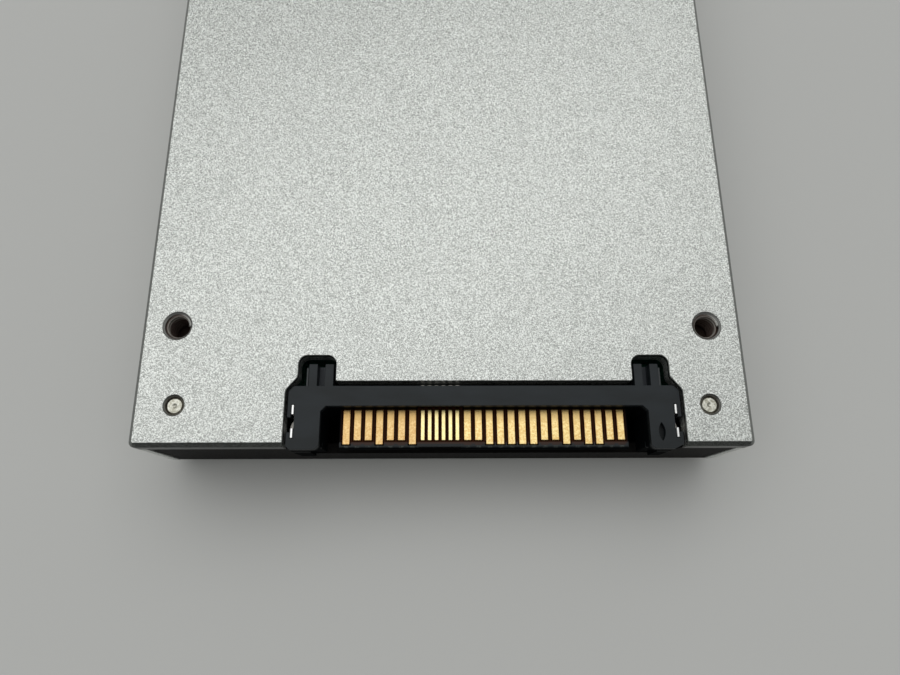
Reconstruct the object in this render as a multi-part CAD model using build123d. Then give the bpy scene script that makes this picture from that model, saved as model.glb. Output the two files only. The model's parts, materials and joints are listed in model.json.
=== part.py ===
from build123d import *
import os

# A 2.5 inch solid state drive with a multi-lane plug, 15 mm class, in millimetres.
# Modelling frame: x across the drive, y away from the plug, z up, with the label
# side at zero and the mounting face on top. The sub-parts are written with the
# origin under the middle of the whole drive.

# Case
case_width = 69.85
case_length = 100.20
case_height = 14.80
case_corner_radius = 0.70
face_chamfer = 0.50
rim_height = 2.50
seam_chamfer = 0.15
face_plate = 2.00
wall = 1.40
overrun = 1.00
match = 0.02

# Shared counts and angles
hex_sides = 6
quarter_turn = 90

# Mounting holes of the 2.5 inch pattern
hole_side_edge = 4.065
hole_first_y = 14.00
hole_last_gap = 9.60
thread_radius = 1.50
thread_mouth_radius = 1.75
face_thread_depth = 4.40
side_hole_depth = 3.00
side_thread_length = 2.30
boss_wall = 1.30

# Case screws, driven from the label side
case_screw_side = 4.675
case_screw_end = 4.65
case_screw_radius = 1.00
case_screw_head_radius = 1.90
case_screw_head_sink = 0.10
case_screw_tip_radius = 0.80
case_screw_tip_depth = 0.35
case_screw_dimple_radius = 0.30
case_screw_dimple_depth = 0.12
case_screw_mouth_radius = 1.25
case_screw_drive_radius = 0.85
case_screw_drive_depth = 0.70
case_post_radius = 2.20
screw_clearance = 0.12
thread_clearance = 0.02

# Cover of the label side
cover_thickness = 1.20
cover_gap = 0.10
cover_recess = 0.10
cover_front_wall = 1.20
cover_inset = 0.10
cover_bevel = 2.30
cover_rim_width = 1.90

# Plug housing
plug_x = 4.68
plug_sink = 0.45
ear_proud = 0.25
ear_gap = 1.92
ear_width = 3.70
ear_foot_taper = 0.80
ear_straight_depth = 2.00
ear_rear_chamfer = 0.60
ear_mouth_radius = 0.70
ear_front_chamfer = 0.40
ear_guide_width = 1.00
ear_guide_length = 0.50
ear_pocket_width = 1.30
ear_pocket_length = 0.45
ear_pocket_depth = 1.60
mouth_chamfer = 0.60
bar_front = 4.65
bar_rear = 6.95
bar_lower_rear = 5.85
bar_lower_depth = 3.55
tongue_depth = 2.80
tongue_thickness = 1.20
tongue_side_margin = 0.385
tongue_front = 0.08
tongue_nose_chamfer = 0.25
tongue_step = 0.25
tongue_step_margin = 0.16
tab_overlap = 1.30
tab_rib = 0.95
tab_groove = 0.90
tab_length = 2.55
tab_groove_depth = 1.50
rail_gap = 0.12
rail_width = 0.20
rail_drop = 0.40
rail_setback = 0.35
gate_mark_setback = 2.36
gate_mark_y = 1.66
gate_mark_length = 2.10
gate_mark_width = 0.75
gate_mark_depth = 0.60
peg_setback = 2.40
peg_y = 5.60
peg_radius = 0.60
peg_length = 1.00
peg_clearance = 0.05

# Openings of the case round the plug
opening_gap = 0.25
opening_rear_gap = 0.42
opening_shoulder = 0.95
opening_shoulder_radius = 0.80
opening_inner_radius = 0.30
opening_edge_break = 0.10
notch_inner_gap = 0.30
notch_outer_gap = 0.82
notch_rear_gap = 0.90
notch_radius = 1.00
opening_floor_gap = 0.18
opening_floor_radius = 0.60

# Contacts
blade_thickness = 0.25
blade_width = 0.80
blade_pitch = 1.27
key_blade_width = 0.42
key_blade_pitch = 0.80
blade_proud = 0.03
blade_gap = 0.02
groove_gap = 0.12
blade_pocket = 0.08
blade_nose_chamfer = 0.08
long_blade_front = 0.55
short_blade_front = 1.02
signal_to_power = 6.35
signal_count = 7
key_count = 6
power_count = 15
signal_long = (0, 3, 6)
power_long = (2, 3, 4, 5, 6, 9, 11, 12)
back_counts = (10, 7, 23)
tail_gap = 0.05
tail_foot = 1.00
back_tail_foot = 0.50
key_riser_depth = 1.50
key_window_length = 0.34
key_window_depth = 0.95
key_window_margin = 0.25

# Hold-down clips
clip_setback = 0.75
clip_thickness = 0.30
clip_front = 1.05
clip_rear = 4.75
clip_prong = 1.05
clip_top_depth = 0.42
clip_web_depth = 2.00
clip_web_height = 2.00
clip_slot_gap = 0.06
clip_bow = 0.28
clip_bow_length = 1.20
clip_bow_height = 1.60
clip_window_front = 1.65
clip_window_rear = 3.35
clip_leg_front = 2.90
clip_leg_rear = 4.00
clip_leg_gap = 0.35
clip_leg_reach = 0.90

# Main board
board_depth = 6.60
board_thickness = 1.20
board_side_gap = 0.925
board_front = 2.00
board_plug_gap = 0.25
board_arm_setback = 0.50
board_rear_gap = 0.60
board_notch_width = 5.00
board_notch_length = 5.40
board_rear_notch_length = 5.20
board_corner = 0.60

# Second board and what joins the two
second_thickness = 0.80
second_setback = 0.80
second_front = 17.60
second_rear_gap = 4.40
board_post_side = 4.525
board_post_end = 4.45
board_post_radius = 2.30
spacer_radius = 2.10
board_screw_radius = 1.00
board_screw_head_radius = 1.80
board_screw_head_height = 1.00
board_screw_bite = 3.20
link_flash_gap = 9.00
link_seat_gap = 0.10
link_end_gap = 0.20
socket_length = 26.00
socket_width = 5.00
socket_trough_length = 24.00
socket_trough_width = 3.00
socket_floor = 0.50
plug_gap = 0.15
plug_base_height = 0.70

# Packages on the boards
controller_y = 32.00
controller_side = 19.00
controller_height = 2.00
memory_x = 19.50
memory_width = 10.00
memory_length = 13.50
memory_height = 1.10
flash_length = 18.00
flash_columns = 3
flash_column_gap = 4.50
flash_post_gap = 1.20
flash_row_gap = 2.50
flash_layers = 3
second_flash_margin = 0.50
package_base = 0.30
package_cap_setback = 0.40
pad_margin = 0.80
controller_pad_thickness = 0.60
upper_pad_thickness = 1.00
middle_pad_thickness = 0.60
lower_pad_thickness = 0.80
chip_side = 4.60
chip_height = 0.90
chip_pitch = 8.00
chip_count = 3
chip_y = 13.00
coil_side = 5.20
coil_height = 2.80
coil_corner = 0.90
coil_y = 19.40
crystal_width = 3.20
crystal_length = 2.50
crystal_height = 0.80
crystal_x = -12.60
crystal_y = 36.00
ceramic_length = 1.60
ceramic_width = 0.80
ceramic_height = 0.80
ceramic_pitch = 2.60
ceramic_count = 8
ceramic_row_gap = 1.20

# Hold-up capacitors
can_count = 7
can_length = 20.00
can_rear_gap = 2.40
can_seat = 0.10
can_cover_gap = 0.70
can_post_gap = 2.75
lead_bite = 0.50
lead_thickness = 0.40
lead_width = 0.50
lead_spacing = 2.00
lead_reach = 1.20
lead_clearance = 0.10

# Places that follow from the sizes above
sides = (-1, 1)
case_half = case_width / 2
inner_half = case_half - wall
face_under = case_height - face_plate
hole_x = case_half - hole_side_edge
hole_ys = (hole_first_y, case_length - hole_last_gap)
boss_half = thread_radius + boss_wall
boss_under = case_height - side_hole_depth - boss_half
case_screw_x = case_half - case_screw_side
case_screw_ys = (case_screw_end, case_length - case_screw_end)
cover_half = case_half - cover_inset
cover_rear = case_length - cover_inset
front_wall_half = inner_half - cover_gap

# Contacts and plug
contact_span = (signal_count - 1 + power_count - 1) * blade_pitch + signal_to_power
signal_start = -contact_span / 2
signal_end = signal_start + (signal_count - 1) * blade_pitch
power_start = signal_end + signal_to_power
power_end = power_start + (power_count - 1) * blade_pitch
key_middle = (signal_end + power_start) / 2
key_start = key_middle - (key_count - 1) * key_blade_pitch / 2
plug_top = case_height - plug_sink
tongue_top = case_height - tongue_depth
tongue_under = tongue_top - tongue_thickness
tongue_half_width = contact_span / 2 + blade_width / 2 + tongue_side_margin
ear_inner = tongue_half_width + ear_gap
ear_outer = ear_inner + ear_width
ear_foot_outer = ear_outer - ear_foot_taper
tab_inner = ear_inner - tab_overlap
tab_outer = tab_inner + tab_rib + tab_groove + tab_rib
tab_rear = bar_rear + tab_length
rail_inner = tab_outer + rail_gap
rail_outer = rail_inner + rail_width
peg_x = ear_outer - peg_setback
gate_mark_x = ear_outer - gate_mark_setback
clip_inner = ear_outer - clip_setback
clip_outer = clip_inner + clip_thickness
tail_rear = bar_rear + tail_gap + blade_thickness
back_tail_rear = bar_lower_rear + tail_gap + blade_thickness
opening_half = ear_outer + opening_gap
opening_rear = bar_rear + opening_rear_gap

# Boards: the flash packages take the height that the boards and pads leave
board_half_width = inner_half - board_side_gap
board_rear = case_length - wall - board_rear_gap
board_top = case_height - board_depth
board_under = board_top - board_thickness
lower_space = board_under - cover_thickness
soft_layers = middle_pad_thickness + lower_pad_thickness
flash_height = (lower_space - second_thickness - soft_layers) / flash_layers
second_under = cover_thickness + lower_pad_thickness + flash_height
second_top = second_under + second_thickness
stack_gap = board_under - second_top
socket_height = stack_gap - plug_base_height - link_seat_gap
plug_reach = stack_gap - socket_floor - link_end_gap

# Hold-up capacitors behind the second board, between the rear case posts
can_radius = (lower_space - can_seat - can_cover_gap) / 2
can_front = case_length - wall - can_rear_gap - can_length
can_reach = case_screw_x - case_post_radius - can_post_gap
can_pitch = (can_reach - can_radius) * 2 / (can_count - 1)
second_half_width = board_half_width - second_setback
second_rear = can_front - second_rear_gap
board_post_x = inner_half - board_post_side
board_post_ys = (second_front + board_post_end, second_rear - board_post_end)

# Flash packages: columns between the posts, rows between the controller and the rear
flash_reach = board_post_x - board_post_radius - flash_post_gap
flash_width = (flash_reach * 2 - (flash_columns - 1) * flash_column_gap) / flash_columns
flash_pitch_x = flash_width + flash_column_gap
flash_pitch_y = flash_length + flash_row_gap
flash_columns_x = [(i - (flash_columns - 1) / 2) * flash_pitch_x for i in range(flash_columns)]
controller_top = board_top + controller_height
flash_top = board_top + flash_height
upper_middle = (controller_y + controller_side / 2 + board_rear) / 2
upper_rows = (upper_middle - flash_pitch_y / 2, upper_middle + flash_pitch_y / 2)
second_inset = second_flash_margin + flash_length / 2
second_rows = (second_front + second_inset, second_rear - second_inset)
link_y = second_rows[1] - flash_length / 2 - link_flash_gap - socket_width / 2


def block(x_low, x_high, y_low, y_high, z_low, z_high):
    """A box between six faces."""
    corner = (Align.MIN, Align.MIN, Align.MIN)
    return Pos(x_low, y_low, z_low) * Box(x_high - x_low, y_high - y_low, z_high - z_low, align=corner)


def centred_block(x, y, width, length, z_low, z_high):
    """A box set about an upright line."""
    return block(x - width / 2, x + width / 2, y - length / 2, y + length / 2, z_low, z_high)


def round_bar(x, y, z_low, z_high, radius):
    """An upright cylinder between two heights."""
    foot = (Align.CENTER, Align.CENTER, Align.MIN)
    return Pos(x, y, z_low) * Cylinder(radius, z_high - z_low, align=foot)


def plan(points, radii, z_low, z_high):
    """A prism on an outline seen from above, with a radius at each corner."""
    face = make_face(FilletPolyline(*points, radius=radii, close=True))
    return Pos(0, 0, z_low) * extrude(face, z_high - z_low)


def front_profile(points, radii, y_low, y_high):
    """A prism on an outline of x and z, running back along y."""
    face = make_face(FilletPolyline(*[(x, 0, z) for x, z in points], radius=radii, close=True))
    return Pos(0, y_low, 0) * extrude(face, y_high - y_low, dir=(0, 1, 0))


def side_profile(points, x_middle, width):
    """A prism on an outline of y and z, centred across x."""
    face = make_face(Polyline(*[(0, y, z) for y, z in points], close=True))
    return Pos(x_middle - width / 2, 0, 0) * extrude(face, width, dir=(1, 0, 0))


def turned(points, x, y):
    """A solid of revolution about an upright line, from an outline of radius and height."""
    face = make_face(Polyline(*[(r, 0, z) for r, z in points], close=True))
    return Pos(x, y, 0) * revolve(face, Axis.Z)


def flare(x, y, z_top, radius, mouth_radius):
    """The cutter for a chamfered hole mouth in an upward face."""
    depth = mouth_radius - radius
    points = [(0, z_top - depth), (radius, z_top - depth), (mouth_radius, z_top),
              (mouth_radius, z_top + overrun), (0, z_top + overrun)]
    return turned(points, x, y)


def corners(xs, ys):
    """Every pair of a place across and a place along."""
    return [(x, y) for x in xs for y in ys]


def beside_plug(side, near, far):
    """The two x places of a span to one side of the plug's middle, the lower first."""
    return sorted((plug_x + side * near, plug_x + side * far))


def mounting_holes():
    """Cutters for the threaded holes of the face and of both sides."""
    cutters = []
    for side, y in corners(sides, hole_ys):
        x = side * hole_x
        cutters.append(round_bar(x, y, case_height - face_thread_depth, case_height + overrun, thread_radius))
        cutters.append(flare(x, y, case_height, thread_radius, thread_mouth_radius))
        across = Rotation(0, side * quarter_turn, 0)
        bore = round_bar(0, 0, -side_thread_length, overrun, thread_radius) + flare(
            0, 0, 0, thread_radius, thread_mouth_radius)
        cutters.append(Pos(side * case_half, y, case_height - side_hole_depth) * across * bore)
    return cutters


def plug_cutout():
    """The window in the mounting face that the plug shows through, with its two rear notches."""
    shoulder_front = bar_rear - ear_rear_chamfer
    shoulder_rear = bar_rear + opening_shoulder
    notch_outer = rail_outer + notch_outer_gap
    notch_inner = tab_inner - notch_inner_gap
    notch_rear = tab_rear + notch_rear_gap
    half = [(opening_half, -overrun), (opening_half, shoulder_front), (notch_outer, shoulder_rear),
            (notch_outer, notch_rear), (notch_inner, notch_rear), (notch_inner, opening_rear)]
    half_radii = [0, opening_shoulder_radius, opening_shoulder_radius, notch_radius, notch_radius,
                  opening_inner_radius]
    points = [(plug_x + x, y) for x, y in half] + [(plug_x - x, y) for x, y in reversed(half)]
    radii = half_radii + half_radii[::-1]
    return plan(points, radii, face_under - overrun, case_height + overrun)


def make_base_case():
    """The cast half with the mounting face, both side walls and the rear wall."""
    outline = Pos(0, case_length / 2) * RectangleRounded(case_width, case_length, case_corner_radius)
    body = Pos(0, 0, rim_height) * extrude(outline, case_height - rim_height)
    body = chamfer(body.faces().sort_by(Axis.Z)[-1].edges(), face_chamfer)
    body = chamfer(body.faces().sort_by(Axis.Z)[0].edges(), seam_chamfer)
    body -= block(-inner_half, inner_half, -overrun, case_length - wall, -overrun, face_under)

    # Bosses round the threaded holes, joined to the side walls
    for side, y in corners(sides, hole_ys):
        inner = side * (hole_x - boss_half)
        outer = side * (case_half - wall / 2)
        front = y - boss_half
        rear = y + boss_half
        low, high = sorted((inner, outer))
        body += block(low, high, front, rear, boss_under, face_under)

    # Posts that take the case screws and the board screws
    for side, y in corners(sides, case_screw_ys):
        body += round_bar(side * case_screw_x, y, cover_thickness, face_under, case_post_radius)
    for side, y in corners(sides, board_post_ys):
        body += round_bar(side * board_post_x, y, board_top, face_under, board_post_radius)

    # Raised pads that reach down to the packages
    pad_side = controller_side - pad_margin
    pad_under = controller_top + controller_pad_thickness
    body += centred_block(0, controller_y, pad_side, pad_side, pad_under, face_under)
    pad_width = (flash_columns - 1) * flash_pitch_x + flash_width - pad_margin
    pad_length = flash_pitch_y + flash_length - pad_margin
    pad_under = flash_top + upper_pad_thickness
    body += centred_block(0, upper_middle, pad_width, pad_length, pad_under, face_under)

    body -= plug_cutout()
    rim = [e for e in body.edges() if is_cutout_rim(e)]
    body = chamfer(rim, opening_edge_break)
    for cutter in mounting_holes():
        body -= cutter
    hole_radius = case_screw_radius + thread_clearance
    for side, y in corners(sides, case_screw_ys):
        x = side * case_screw_x
        body -= round_bar(x, y, cover_thickness - overrun, case_height + overrun, hole_radius)
        body -= flare(x, y, case_height, hole_radius, case_screw_mouth_radius)
    hole_top = board_top + board_screw_bite + screw_clearance
    for side, y in corners(sides, board_post_ys):
        x = side * board_post_x
        body -= round_bar(x, y, board_top - overrun, hole_top, board_screw_radius + thread_clearance)
    return body


def is_cutout_rim(edge):
    """True for the upper edges of the plug's window."""
    box = edge.bounding_box()
    flat = box.min.Z > case_height - match
    inside = abs(box.center().X - plug_x) < opening_half + match
    near = box.center().Y < tab_rear + notch_rear_gap + match
    clear_of_edge = box.max.Y > face_chamfer + match
    return flat and inside and near and clear_of_edge


def make_cover():
    """The label side: a tray with a bevelled rim and a front wall that closes round the plug."""
    tray = block(-cover_half, cover_half, cover_recess, cover_rear, 0, rim_height)
    tray = chamfer(tray.faces().sort_by(Axis.Z)[0].edges(), cover_bevel)
    outline = RectangleRounded(cover_half * 2, cover_rear - cover_recess, case_corner_radius)
    tray &= Pos(0, (cover_recess + cover_rear) / 2) * extrude(outline, rim_height)
    inner = cover_half - cover_rim_width
    inner_front = cover_recess + cover_rim_width
    tray -= block(-inner, inner, inner_front, cover_rear - cover_rim_width, cover_thickness,
                  rim_height + overrun)
    wall_top = face_under
    floor = board_top - opening_floor_gap
    foot_half = ear_foot_outer + opening_gap
    bend = case_height - ear_straight_depth
    points = [(-front_wall_half, rim_height), (front_wall_half, rim_height),
              (front_wall_half, wall_top), (plug_x + opening_half, wall_top),
              (plug_x + opening_half, bend - opening_gap), (plug_x + foot_half, floor),
              (plug_x - foot_half, floor), (plug_x - opening_half, bend - opening_gap),
              (plug_x - opening_half, wall_top), (-front_wall_half, wall_top)]
    radii = [0, 0, 0, 0, 0, opening_floor_radius, opening_floor_radius, 0, 0, 0]
    body = tray + front_profile(points, radii, cover_recess, cover_recess + cover_front_wall)
    hole_radius = case_screw_radius + screw_clearance
    mouth = case_screw_head_radius + case_screw_head_sink + screw_clearance
    hole_top = cover_thickness + overrun
    points = [(0, -overrun), (mouth, -overrun), (mouth, 0), (hole_radius, mouth - hole_radius),
              (hole_radius, hole_top), (0, hole_top)]
    for side, y in corners(sides, case_screw_ys):
        body -= turned(points, side * case_screw_x, y)
    return body


def make_cover_screws():
    """Countersunk screws, head down in the cover, tip just below the mounting face."""
    screws = []
    head_depth = case_screw_head_radius - case_screw_radius
    tip = case_height - case_screw_tip_depth
    tip_chamfer = case_screw_radius - case_screw_tip_radius
    for side, y in corners(sides, case_screw_ys):
        x = side * case_screw_x
        points = [(0, case_screw_head_sink), (case_screw_head_radius, case_screw_head_sink),
                  (case_screw_radius, case_screw_head_sink + head_depth),
                  (case_screw_radius, tip - tip_chamfer), (case_screw_tip_radius, tip),
                  (case_screw_dimple_radius, tip), (0, tip - case_screw_dimple_depth)]
        drive = extrude(RegularPolygon(case_screw_drive_radius, hex_sides), case_screw_drive_depth)
        screws.append(turned(points, x, y) - Pos(x, y, case_screw_head_sink) * drive)
    return screws


def ear(side):
    """One side guide of the plug: its section follows the case, its plan has the lead-in corners."""
    nose = [(ear_inner, plug_top), (ear_outer, plug_top), (ear_outer, case_height - ear_straight_depth),
            (ear_foot_outer, board_top), (ear_inner, board_top)]
    nose = [(plug_x + side * x, z) for x, z in nose]
    nose_rear = cover_recess + cover_front_wall + opening_gap
    body = front_profile(nose, 0, -ear_proud, nose_rear)
    low, high = beside_plug(side, ear_inner - mouth_chamfer, ear_outer)
    body += block(low, high, nose_rear, bar_rear, board_top, plug_top)
    guide_width = ear_front_chamfer if side < 0 else ear_guide_width
    guide_length = ear_front_chamfer if side < 0 else ear_guide_length
    outline = [(ear_inner, -ear_proud), (ear_outer - guide_width, -ear_proud),
               (ear_outer, -ear_proud + guide_length),
               (ear_outer, bar_rear - ear_rear_chamfer), (ear_outer - ear_rear_chamfer, bar_rear),
               (ear_inner - mouth_chamfer, bar_rear), (ear_inner - mouth_chamfer, bar_front),
               (ear_inner, bar_front - mouth_chamfer)]
    outline = [(plug_x + side * x, y) for x, y in outline]
    return body & plan(outline, [ear_mouth_radius, 0, 0, 0, 0, 0, 0, 0], board_top, plug_top)


def tab(side):
    """One rear tab of the plug: two ribs with a groove between them and a low rail outside."""
    low, high = beside_plug(side, tab_inner, tab_outer)
    body = block(low, high, bar_rear - overrun, tab_rear, board_top, plug_top)
    low, high = beside_plug(side, rail_inner, rail_outer)
    body += block(low, high, bar_rear - overrun, tab_rear - rail_setback, board_top, plug_top - rail_drop)
    low, high = beside_plug(side, tab_inner + tab_rib, tab_outer - tab_rib)
    body -= block(low, high, bar_rear, tab_rear + overrun, plug_top - tab_groove_depth, plug_top + overrun)
    return body


def contact_slots():
    """Cutters for the grooves in the tongue and the tunnels through the bar behind it."""
    cutters = []
    top = tongue_top + blade_proud
    for x, front, width in front_blades():
        low = top - blade_thickness
        cutters.append(centred_slot(x, front - blade_pocket, bar_front, width + groove_gap * 2, low, top))
        cutters.append(centred_slot(x, bar_front - overrun, bar_rear + overrun, width, low, top))
    for x in back_blades():
        high = tongue_under + blade_thickness
        low = tongue_under - blade_proud
        front = short_blade_front - blade_pocket
        cutters.append(centred_slot(x, front, bar_lower_rear + overrun, key_blade_width, low, high))
    return cutters


def centred_slot(x, y_low, y_high, width, z_low, z_high):
    """A slot a little wider than the blade that lies in it."""
    half = width / 2 + blade_gap
    return block(plug_x + x - half, plug_x + x + half, y_low, y_high, z_low, z_high)


def blade_front(index, longs):
    """Where a blade starts: the long ones reach further out."""
    return long_blade_front if index in longs else short_blade_front


def signal_blades():
    return [(signal_start + i * blade_pitch, blade_front(i, signal_long)) for i in range(signal_count)]


def power_blades():
    return [(power_start + i * blade_pitch, blade_front(i, power_long)) for i in range(power_count)]


def key_blades():
    return [(key_start + i * key_blade_pitch, short_blade_front) for i in range(key_count)]


def front_blades():
    """Every blade of the upper side, as place, front end and width."""
    wide = [(x, front, blade_width) for x, front in signal_blades() + power_blades()]
    narrow = [(x, front, key_blade_width) for x, front in key_blades()]
    return wide + narrow


def back_blades():
    """The places of the blades on the under side, in three groups."""
    middles = ((signal_start + signal_end) / 2, key_middle, (power_start + power_end) / 2)
    places = []
    for middle, count in zip(middles, back_counts):
        places += [middle + (i - (count - 1) / 2) * key_blade_pitch for i in range(count)]
    return places


def make_connector_housing():
    """The moulded plug: two ears, a bar between them, a tongue for the contacts and two rear tabs."""
    left = plug_x - ear_inner
    right = plug_x + ear_inner
    body = block(left, right, bar_front, bar_rear, case_height - bar_lower_depth, plug_top)
    body += block(left, right, bar_front, bar_lower_rear, board_top, plug_top)

    # Tongue with a chamfered nose, stepped back between the two wide rows
    nose_rear = tongue_front + tongue_nose_chamfer
    root = bar_front + overrun
    nose = [(tongue_front, tongue_under + tongue_nose_chamfer), (nose_rear, tongue_under),
            (root, tongue_under), (root, tongue_top), (nose_rear, tongue_top),
            (tongue_front, tongue_top - tongue_nose_chamfer)]
    body += side_profile(nose, plug_x, tongue_half_width * 2)
    step_half = (key_count - 1) * key_blade_pitch / 2 + key_blade_width / 2 + tongue_step_margin
    step_x = plug_x + key_middle
    body -= block(step_x - step_half, step_x + step_half, -overrun, tongue_front + tongue_step,
                  tongue_under - overrun, tongue_top + overrun)

    for side in sides:
        body += ear(side) + tab(side)
        peg_place = plug_x + side * peg_x
        body += round_bar(peg_place, peg_y, board_top - peg_length, board_top + overrun, peg_radius)

    # Window under the bar's front edge, where the narrow blades start
    window_half = step_half + key_window_margin
    window_rear = bar_front + key_window_length
    body -= block(step_x - window_half, step_x + window_half, bar_front - overrun, window_rear,
                  tongue_top, case_height - key_window_depth)
    for cutter in contact_slots():
        body -= cutter

    # Slots for the clips, the side windows over their bows and the pockets in the ears' front
    web_under = case_height - clip_web_depth - clip_web_height
    for side in sides:
        low, high = beside_plug(side, clip_inner - clip_slot_gap, clip_outer + clip_slot_gap)
        body -= block(low, high, clip_front - clip_slot_gap, clip_rear + clip_slot_gap,
                      web_under - clip_slot_gap, plug_top + overrun)
        body -= block(low, high, clip_leg_front - clip_slot_gap, clip_leg_rear + clip_slot_gap,
                      board_top - overrun, plug_top)
        low, high = beside_plug(side, clip_outer, ear_outer + overrun)
        body -= block(low, high, clip_window_front, clip_window_rear, web_under, plug_top + overrun)
        low, high = beside_plug(side, ear_inner - overrun, ear_inner + ear_pocket_width)
        body -= block(low, high, -ear_proud - overrun, -ear_proud + ear_pocket_length,
                      board_top - overrun, plug_top - ear_pocket_depth)
    return body - gate_mark()


def gate_mark():
    """The shallow lens-shaped mark on one ear."""
    x = plug_x + gate_mark_x
    low = (x, gate_mark_y - gate_mark_length / 2)
    high = (x, gate_mark_y + gate_mark_length / 2)
    bulge = gate_mark_width / 2
    lens = make_face(ThreePointArc(low, (x + bulge, gate_mark_y), high) + ThreePointArc(
        high, (x - bulge, gate_mark_y), low))
    return Pos(0, 0, plug_top - gate_mark_depth) * extrude(lens, overrun)


def foot(rear, reach):
    """The outline of a contact's tail below its blade: down to the board and back along it."""
    return [(rear, board_top + blade_thickness), (rear + reach, board_top + blade_thickness),
            (rear + reach, board_top), (rear - blade_thickness, board_top)]


def front_contact(x, front, width):
    """A blade along the tongue that turns down behind the bar to a foot on the board."""
    top = tongue_top + blade_proud
    under = top - blade_thickness
    points = [(front, under), (front, top - blade_nose_chamfer), (front + blade_nose_chamfer, top),
              (tail_rear, top)]
    points += foot(tail_rear, tail_foot) + [(tail_rear - blade_thickness, under)]
    return side_profile(points, plug_x + x, width)


def key_contact(x, front):
    """A narrow blade whose rear end also rises behind the bar."""
    top = tongue_top + blade_proud
    under = top - blade_thickness
    riser = case_height - key_riser_depth
    riser_front = tail_rear - blade_thickness
    points = [(front, under), (front, top - blade_nose_chamfer), (front + blade_nose_chamfer, top),
              (riser_front, top), (riser_front, riser), (tail_rear, riser)]
    points += foot(tail_rear, tail_foot) + [(riser_front, under)]
    return side_profile(points, plug_x + x, key_blade_width)


def back_contact(x):
    """A blade under the tongue that turns down inside the bar's rear step."""
    low = tongue_under - blade_proud
    high = low + blade_thickness
    points = [(short_blade_front, low), (short_blade_front, high), (back_tail_rear, high)]
    points += foot(back_tail_rear, back_tail_foot) + [(back_tail_rear - blade_thickness, low)]
    return side_profile(points, plug_x + x, key_blade_width)


def make_hold_down_clips():
    """Flat spring clips through the ears: two prongs up, a bowed web and a split leg into the board."""
    clips = []
    web_top = case_height - clip_web_depth
    web_under = web_top - clip_web_height
    for side in sides:
        low, high = beside_plug(side, clip_inner, clip_outer)
        body = block(low, high, clip_front, clip_rear, web_under, web_top)
        for y_low in (clip_front, clip_rear - clip_prong):
            body += block(low, high, y_low, y_low + clip_prong, web_under, case_height - clip_top_depth)
        body += block(low, high, clip_leg_front, clip_leg_rear, board_under - clip_leg_reach, web_top)
        middle = (clip_leg_front + clip_leg_rear) / 2
        body -= block(low - overrun, high + overrun, middle - clip_leg_gap / 2, middle + clip_leg_gap / 2,
                      board_under - clip_leg_reach - overrun, board_top)
        bow_middle = (clip_window_front + clip_window_rear) / 2
        face_x = plug_x + side * clip_outer
        start = (face_x, bow_middle - clip_bow_length / 2)
        end = (face_x, bow_middle + clip_bow_length / 2)
        bow = make_face(ThreePointArc(start, (face_x + side * clip_bow, bow_middle), end) + Line(end, start))
        body += Pos(0, 0, web_top - clip_bow_height) * extrude(bow, clip_bow_height)
        clips.append(body)
    return clips


def is_inner_corner(edge, front_step, rear_step):
    """True for the upright edges at the inner corners of the main board's notches."""
    middle = edge.center()
    at_step = abs(middle.Y - front_step) < match or abs(middle.Y - rear_step) < match
    return at_step and abs(middle.X) < board_half_width - match


def make_main_board():
    """The board that carries the plug, the controller and half of the flash."""
    notch_x = board_half_width - board_notch_width
    front_step = board_front + board_notch_length
    rear_step = board_rear - board_rear_notch_length
    half = [(notch_x, board_front), (notch_x, front_step), (board_half_width, front_step),
            (board_half_width, rear_step), (notch_x, rear_step), (notch_x, board_rear)]
    points = half + [(-x, y) for x, y in reversed(half)]
    body = plan(points, 0, board_under, board_top)
    outer = [e for e in body.edges().filter_by(Axis.Z) if not is_inner_corner(e, front_step, rear_step)]
    body = chamfer(outer, board_corner)
    hole_low = board_under - overrun
    hole_high = board_top + overrun
    arm_inner = ear_inner + board_arm_setback
    body -= block(plug_x - arm_inner, plug_x + arm_inner, board_front - overrun, bar_front + board_plug_gap,
                  hole_low, hole_high)
    for side, y in corners(sides, board_post_ys):
        body -= round_bar(side * board_post_x, y, hole_low, hole_high, board_screw_radius + screw_clearance)
    slot_front = clip_leg_front - clip_slot_gap
    slot_rear = clip_leg_rear + clip_slot_gap
    for side in sides:
        low, high = beside_plug(side, clip_inner - clip_slot_gap, clip_outer + clip_slot_gap)
        body -= block(low, high, slot_front, slot_rear, hole_low, hole_high)
        body -= round_bar(plug_x + side * peg_x, peg_y, hole_low, hole_high, peg_radius + peg_clearance)
    slot_width = lead_width + lead_clearance * 2
    slot_length = lead_thickness + lead_clearance * 2
    for x in lead_places():
        body -= centred_block(x, can_front - lead_reach, slot_width, slot_length, hole_low, hole_high)
    return body


def make_second_board():
    """The shorter board under the main one."""
    body = block(-second_half_width, second_half_width, second_front, second_rear, second_under, second_top)
    body = chamfer(body.edges().filter_by(Axis.Z), board_corner)
    for side, y in corners(sides, board_post_ys):
        body -= round_bar(side * board_post_x, y, second_under - overrun, second_top + overrun,
                          board_screw_radius + screw_clearance)
    return body


def make_board_spacers():
    """Six-sided spacers that hold the two boards apart."""
    outline = RegularPolygon(spacer_radius, hex_sides) - Circle(board_screw_radius + screw_clearance)
    spacer = extrude(outline, stack_gap)
    return [Pos(side * board_post_x, y, second_top) * spacer for side, y in corners(sides, board_post_ys)]


def make_board_screws():
    """Cylinder head screws through both boards into the case posts."""
    screws = []
    head_under = second_under - board_screw_head_height
    tip = board_top + board_screw_bite
    for side, y in corners(sides, board_post_ys):
        x = side * board_post_x
        points = [(0, head_under), (board_screw_head_radius, head_under),
                  (board_screw_head_radius, second_under), (board_screw_radius, second_under),
                  (board_screw_radius, tip), (0, tip)]
        screws.append(turned(points, x, y))
    return screws


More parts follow.
